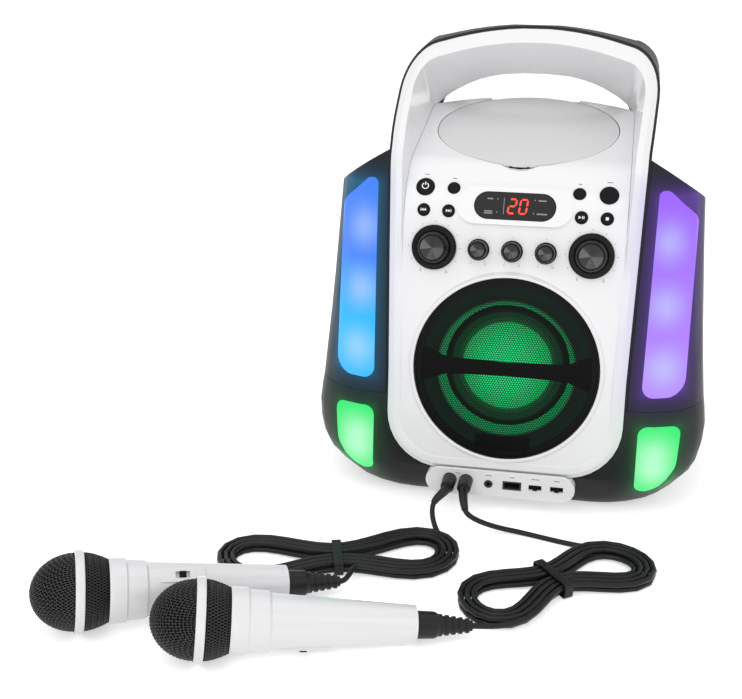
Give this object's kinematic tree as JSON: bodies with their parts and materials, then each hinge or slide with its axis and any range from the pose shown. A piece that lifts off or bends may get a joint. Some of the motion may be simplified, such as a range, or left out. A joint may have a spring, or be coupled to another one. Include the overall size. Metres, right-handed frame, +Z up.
{
  "type": "karaoke machine with disc tray",
  "caption": "Portable karaoke machine with a carry handle, round top-loading disc tray, control panel, round speaker, coloured side lights and corded hand microphones.",
  "frame": {"origin": "the middle of the machine's base on the table, named by the mount base_middle; the microphones and cords in front of the machine aren't counted", "axes": "+Z up, -Y towards the front panel, +X to the right as seen from the front"},
  "size_m": [0.4606, 0.4916, 0.3661],
  "materials": {
    "white_plastic": "gloss",
    "black_plastic": "satin",
    "lens_plastic": "frosted",
    "board": "satin",
    "dark_metal": "satin",
    "bright_metal": "brushed",
    "inner_plastic": "satin",
    "display_plastic": "gloss",
    "cone_paper": "satin",
    "soft_rubber": "satin",
    "gloss_black": "gloss"
  },
  "bodies": {
    "machine": {"lower_shell": "black_plastic", "rear_shell": "black_plastic", "front_shell": "white_plastic", "control_panel": "white_plastic", "socket_plate": "white_plastic", "side_cover_left": "black_plastic", "side_cover_right": "black_plastic", "light_lenses": "lens_plastic", "corner_lenses": "lens_plastic", "light_boards": "board", "cd_well": "black_plastic", "mechanism_chassis": "dark_metal", "disc_motors": "bright_metal", "display_window": "display_plastic", "display_module": "inner_plastic", "control_board": "board", "main_board": "board", "sockets": "inner_plastic", "grille_frame": "gloss_black", "grille_mesh": "dark_metal", "speaker_frame": "dark_metal", "speaker_magnet": "dark_metal", "speaker_surround": "soft_rubber", "feet": "soft_rubber", "case_screws": "bright_metal", "mic_bodies": "white_plastic", "mic_grilles": "dark_metal", "mic_rings": "white_plastic", "mic_capsules": "dark_metal", "mic_reliefs": "inner_plastic", "mic_plugs": "soft_rubber", "cord_left": "soft_rubber", "cord_right": "soft_rubber", "lead_left": "soft_rubber", "lead_right": "soft_rubber", "hank_left": "soft_rubber", "hank_right": "soft_rubber", "cord_ties": "soft_rubber"},
    "lid": {"cd_lid": "white_plastic"},
    "spindle": {"turntable": "inner_plastic"},
    "sled": {"laser_sled": "inner_plastic"},
    "gear": {"sled_gear": "inner_plastic"},
    "cone": {"speaker_cone": "cone_paper"},
    "power_button": {"power_button": "gloss_black"},
    "repeat_button": {"repeat_button": "gloss_black"},
    "previous_button": {"previous_button": "gloss_black"},
    "next_button": {"next_button": "gloss_black"},
    "program_button": {"program_button": "gloss_black"},
    "light_button": {"light_button": "gloss_black"},
    "play_button": {"play_button": "gloss_black"},
    "stop_button": {"stop_button": "gloss_black"},
    "mic_volume_knob": {"mic_volume_knob": "gloss_black"},
    "echo_knob": {"echo_knob": "gloss_black"},
    "talk_over_knob": {"talk_over_knob": "gloss_black"},
    "balance_knob": {"balance_knob": "gloss_black"},
    "master_volume_knob": {"master_volume_knob": "gloss_black"},
    "function_switch": {"function_switch": "gloss_black"},
    "light_switch": {"light_switch": "gloss_black"},
    "mic_switch_rear": {"mic_switch_rear": "gloss_black"},
    "mic_switch_front": {"mic_switch_front": "gloss_black"}
  },
  "joints": [
    {"name": "lid_hinge", "type": "hinge", "parent": "machine", "child": "lid", "pos_m": [0, 0.10089, 0.29401], "axis": [-1, 0, 0], "range_deg": [0, 46]},
    {"name": "spindle_turn", "type": "hinge", "parent": "machine", "child": "spindle", "pos_m": [0, 0.03308, 0.27546], "axis": [0, -0.1736, 0.9848], "continuous": true},
    {"name": "sled_slide", "type": "slide", "parent": "machine", "child": "sled", "axis": [0, -0.9848, -0.1736], "range_m": [0, 0.034]},
    {"name": "gear_turn", "type": "hinge", "parent": "machine", "child": "gear", "pos_m": [0.03225, -0.0037, 0.25374], "axis": [0, -0.1736, 0.9848], "range_deg": [0, 217]},
    {"name": "cone_travel", "type": "slide", "parent": "machine", "child": "cone", "axis": [0, -0.9912, 0.1323], "range_m": [-0.002, 0.002], "stiffness_N_per_m": 1500},
    {"name": "power_button_press", "type": "slide", "parent": "machine", "child": "power_button", "axis": [0, 0.7683, -0.6401], "range_m": [0, 0.0008], "stiffness_N_per_m": 300, "springref_m": -0.0015},
    {"name": "repeat_button_press", "type": "slide", "parent": "machine", "child": "repeat_button", "axis": [0, 0.7683, -0.6401], "range_m": [0, 0.0008], "stiffness_N_per_m": 300, "springref_m": -0.0015},
    {"name": "program_button_press", "type": "slide", "parent": "machine", "child": "program_button", "axis": [0, 0.7683, -0.6401], "range_m": [0, 0.0008], "stiffness_N_per_m": 300, "springref_m": -0.0015},
    {"name": "light_button_press", "type": "slide", "parent": "machine", "child": "light_button", "axis": [0, 0.7683, -0.6401], "range_m": [0, 0.0008], "stiffness_N_per_m": 300, "springref_m": -0.0015},
    {"name": "previous_button_press", "type": "slide", "parent": "machine", "child": "previous_button", "axis": [0, 0.9394, -0.3428], "range_m": [0, 0.0008], "stiffness_N_per_m": 300, "springref_m": -0.0015},
    {"name": "next_button_press", "type": "slide", "parent": "machine", "child": "next_button", "axis": [0, 0.9394, -0.3428], "range_m": [0, 0.0008], "stiffness_N_per_m": 300, "springref_m": -0.0015},
    {"name": "play_button_press", "type": "slide", "parent": "machine", "child": "play_button", "axis": [0, 0.9394, -0.3428], "range_m": [0, 0.0008], "stiffness_N_per_m": 300, "springref_m": -0.0015},
    {"name": "stop_button_press", "type": "slide", "parent": "machine", "child": "stop_button", "axis": [0, 0.9394, -0.3428], "range_m": [0, 0.0008], "stiffness_N_per_m": 300, "springref_m": -0.0015},
    {"name": "mic_volume_knob_turn", "type": "hinge", "parent": "machine", "child": "mic_volume_knob", "pos_m": [-0.0613, -0.07919, 0.2135], "axis": [0, -0.9703, 0.2419], "range_deg": [-150, 150]},
    {"name": "echo_knob_turn", "type": "hinge", "parent": "machine", "child": "echo_knob", "pos_m": [-0.0262, -0.07919, 0.2135], "axis": [0, -0.9703, 0.2419], "range_deg": [-150, 150]},
    {"name": "talk_over_knob_turn", "type": "hinge", "parent": "machine", "child": "talk_over_knob", "pos_m": [0, -0.07919, 0.2135], "axis": [0, -0.9703, 0.2419], "range_deg": [-150, 150]},
    {"name": "balance_knob_turn", "type": "hinge", "parent": "machine", "child": "balance_knob", "pos_m": [0.0262, -0.07919, 0.2135], "axis": [0, -0.9703, 0.2419], "range_deg": [-150, 150]},
    {"name": "master_volume_knob_turn", "type": "hinge", "parent": "machine", "child": "master_volume_knob", "pos_m": [0.0613, -0.07919, 0.2135], "axis": [0, -0.9703, 0.2419], "range_deg": [-150, 150]},
    {"name": "function_switch_slide", "type": "slide", "parent": "machine", "child": "function_switch", "axis": [1, 0, 0], "range_m": [-0.0022, 0.0022]},
    {"name": "light_switch_slide", "type": "slide", "parent": "machine", "child": "light_switch", "axis": [1, 0, 0], "range_m": [-0.0022, 0.0022]},
    {"name": "mic_switch_rear_slide", "type": "slide", "parent": "machine", "child": "mic_switch_rear", "axis": [0.8964, 0.4303, -0.1062], "range_m": [-0.0022, 0.0022]},
    {"name": "mic_switch_front_slide", "type": "slide", "parent": "machine", "child": "mic_switch_front", "axis": [0.9439, 0.3125, -0.1062], "range_m": [-0.0022, 0.0022]}
  ],
  "couplings": [
    {"joint": "gear_turn", "follows": "sled_slide", "rad_per_m": 111.11}
  ]
}
